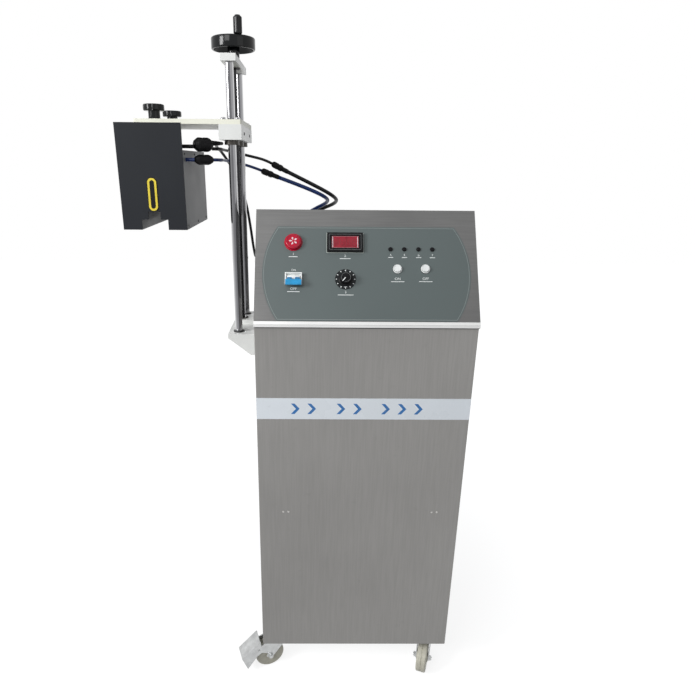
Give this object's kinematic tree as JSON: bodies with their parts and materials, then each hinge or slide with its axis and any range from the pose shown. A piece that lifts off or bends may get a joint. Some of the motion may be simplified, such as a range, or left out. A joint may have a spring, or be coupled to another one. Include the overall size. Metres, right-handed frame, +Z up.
{
  "type": "foil sealing machine",
  "caption": "Foil sealing machine: wheeled cabinet with a sloping control panel, and a sealing head on a handwheel-driven mast beside it.",
  "frame": {"origin": "middle of the whole machine's footprint, on the floor, cords left out", "axes": "+X to the right along the cabinet's front, +Y to its back, +Z up"},
  "size_m": [0.7642, 0.5526, 1.5736],
  "materials": {
    "steel_sheet": "satin",
    "zinc": "zinc plated",
    "ground_steel": "ground",
    "overlay_green": "matte",
    "red_plastic": "gloss",
    "black_plastic": "matte",
    "red_glass": "gloss",
    "white_plastic": "gloss",
    "blue_plastic": "gloss",
    "dial_metal": "brushed",
    "brass_fittings": "plain",
    "cast_grey": "painted",
    "unit_grey": "semi gloss",
    "cream_metal": "semi gloss",
    "screws": "polished",
    "handwheel_black": "gloss",
    "handle_black": "gloss",
    "head_grey": "matte",
    "core_ceramic": "plain",
    "wheel_cream": "matte",
    "black_hose": "matte",
    "blue_hose": "matte"
  },
  "bodies": {
    "cabinet": {"cabinet_shell": "steel_sheet", "console_hood": "steel_sheet", "base_plate": "zinc", "rear_panel": "steel_sheet", "equipment_shelf": "zinc", "panel_overlay": "overlay_green", "warning_buzzer": "red_plastic", "meter_case": "black_plastic", "meter_window": "red_glass", "breaker_body": "white_plastic", "dial_plate": "dial_metal", "potentiometer": "black_plastic", "indicator_lamps": "black_plastic", "button_bezels": "white_plastic", "mains_inlet": "black_plastic", "hose_ports": "brass_fittings", "water_tank": "white_plastic", "water_pump": "cast_grey", "radiator": "dial_metal", "fan_frame": "black_plastic", "power_unit": "unit_grey", "castor_plates": "zinc", "mast_bracket": "cream_metal", "mast_rods": "ground_steel", "mast_cap": "cream_metal", "screw_bushes": "brass_fittings", "hose_couplings": "black_hose", "black_hose_tail": "black_hose", "blue_hose_tail": "blue_hose"},
    "carriage": {"slider_block": "cream_metal", "guide_bushes": "brass_fittings", "lead_nut": "brass_fittings", "arm_plate": "cream_metal", "arm_screws": "screws", "head_housing": "head_grey", "head_front_plate": "head_grey", "coil_core": "core_ceramic", "inline_connectors": "black_plastic", "black_hose_head": "black_hose", "blue_hose_head": "blue_hose", "head_cable": "black_hose"},
    "screw": {"lead_screw": "ground_steel", "handwheel": "handwheel_black"},
    "handle": {"handle_grip": "handle_black"},
    "front_knob": {"star_knob_front": "black_plastic"},
    "rear_knob": {"star_knob_rear": "black_plastic"},
    "control_knob": {"power_knob": "black_plastic"},
    "toggle": {"breaker_toggle": "blue_plastic"},
    "start": {"start_button": "white_plastic"},
    "stop": {"stop_button": "white_plastic"},
    "fan": {"fan_rotor": "black_plastic"},
    "pedal": {"castor_brake_pedal": "zinc"},
    "fork_fl": {"castor_fork_fl": "zinc"},
    "wheel_fl": {"castor_wheel_fl": "wheel_cream"},
    "fork_fr": {"castor_fork_fr": "zinc"},
    "wheel_fr": {"castor_wheel_fr": "wheel_cream"},
    "fork_rl": {"castor_fork_rl": "zinc"},
    "wheel_rl": {"castor_wheel_rl": "wheel_cream"},
    "fork_rr": {"castor_fork_rr": "zinc"},
    "wheel_rr": {"castor_wheel_rr": "wheel_cream"}
  },
  "joints": [
    {"name": "handwheel_turn", "type": "hinge", "parent": "cabinet", "child": "screw", "pos_m": [-0.14585, 0.0728, 1.529], "axis": [0, 0, 1], "range_deg": [-48120, 11520]},
    {"name": "lift", "type": "slide", "parent": "cabinet", "child": "carriage", "axis": [0, 0, 1], "range_m": [-0.4, 0.095], "deforming": ["black_hose_head", "blue_hose_head", "head_cable"]},
    {"name": "handle_spin", "type": "hinge", "parent": "screw", "child": "handle", "pos_m": [-0.13012, 0.03386, 1.5373], "axis": [0, 0, 1], "continuous": true},
    {"name": "swivel_fl", "type": "hinge", "parent": "cabinet", "child": "fork_fl", "pos_m": [-0.04785, -0.162, 0.088], "axis": [0, 0, 1], "continuous": true},
    {"name": "roll_fl", "type": "hinge", "parent": "fork_fl", "child": "wheel_fl", "pos_m": [-0.07609, -0.17211, 0.0375], "axis": [0.3371, -0.9415, 0], "continuous": true},
    {"name": "swivel_fr", "type": "hinge", "parent": "cabinet", "child": "fork_fr", "pos_m": [0.34215, -0.162, 0.088], "axis": [0, 0, 1], "continuous": true},
    {"name": "roll_fr", "type": "hinge", "parent": "fork_fr", "child": "wheel_fr", "pos_m": [0.33204, -0.19024, 0.0375], "axis": [0.9415, -0.3371, 0], "continuous": true},
    {"name": "swivel_rl", "type": "hinge", "parent": "cabinet", "child": "fork_rl", "pos_m": [-0.04785, 0.162, 0.088], "axis": [0, 0, 1], "continuous": true},
    {"name": "roll_rl", "type": "hinge", "parent": "fork_rl", "child": "wheel_rl", "pos_m": [-0.04367, 0.19171, 0.0375], "axis": [-0.9903, 0.1392, 0], "continuous": true},
    {"name": "swivel_rr", "type": "hinge", "parent": "cabinet", "child": "fork_rr", "pos_m": [0.34215, 0.162, 0.088], "axis": [0, 0, 1], "continuous": true},
    {"name": "roll_rr", "type": "hinge", "parent": "fork_rr", "child": "wheel_rr", "pos_m": [0.33849, 0.19178, 0.0375], "axis": [-0.9925, -0.1219, 0], "continuous": true},
    {"name": "brake_pedal", "type": "hinge", "parent": "fork_fl", "child": "pedal", "pos_m": [-0.10622, -0.1829, 0.066], "axis": [0.3371, -0.9415, 0], "range_deg": [0, 4]},
    {"name": "front_knob_turn", "type": "hinge", "parent": "carriage", "child": "front_knob", "pos_m": [-0.31245, -0.01, 1.3627], "axis": [0, 0, 1], "continuous": true},
    {"name": "rear_knob_turn", "type": "hinge", "parent": "carriage", "child": "rear_knob", "pos_m": [-0.31245, 0.1556, 1.3627], "axis": [0, 0, 1], "continuous": true},
    {"name": "control_knob_turn", "type": "hinge", "parent": "cabinet", "child": "control_knob", "pos_m": [0.10275, -0.16901, 1.04444], "axis": [0, -0.8719, 0.4897], "range_deg": [-280, 0]},
    {"name": "breaker_switch", "type": "hinge", "parent": "cabinet", "child": "toggle", "pos_m": [-0.00635, -0.17162, 1.04591], "axis": [-1, 0, 0], "range_deg": [0, 60]},
    {"name": "start_press", "type": "slide", "parent": "cabinet", "child": "start", "axis": [0, 0.8719, -0.4897], "range_m": [0, 0.0025], "stiffness_N_per_m": 400, "springref_m": -0.0015},
    {"name": "stop_press", "type": "slide", "parent": "cabinet", "child": "stop", "axis": [0, 0.8719, -0.4897], "range_m": [0, 0.0025], "stiffness_N_per_m": 400, "springref_m": -0.0015},
    {"name": "fan_spin", "type": "hinge", "parent": "cabinet", "child": "fan", "pos_m": [0.24715, 0.165, 0.29], "axis": [0, 1, 0], "continuous": true}
  ],
  "couplings": [
    {"joint": "handwheel_turn", "follows": "lift", "rad_per_m": 2094.4}
  ]
}
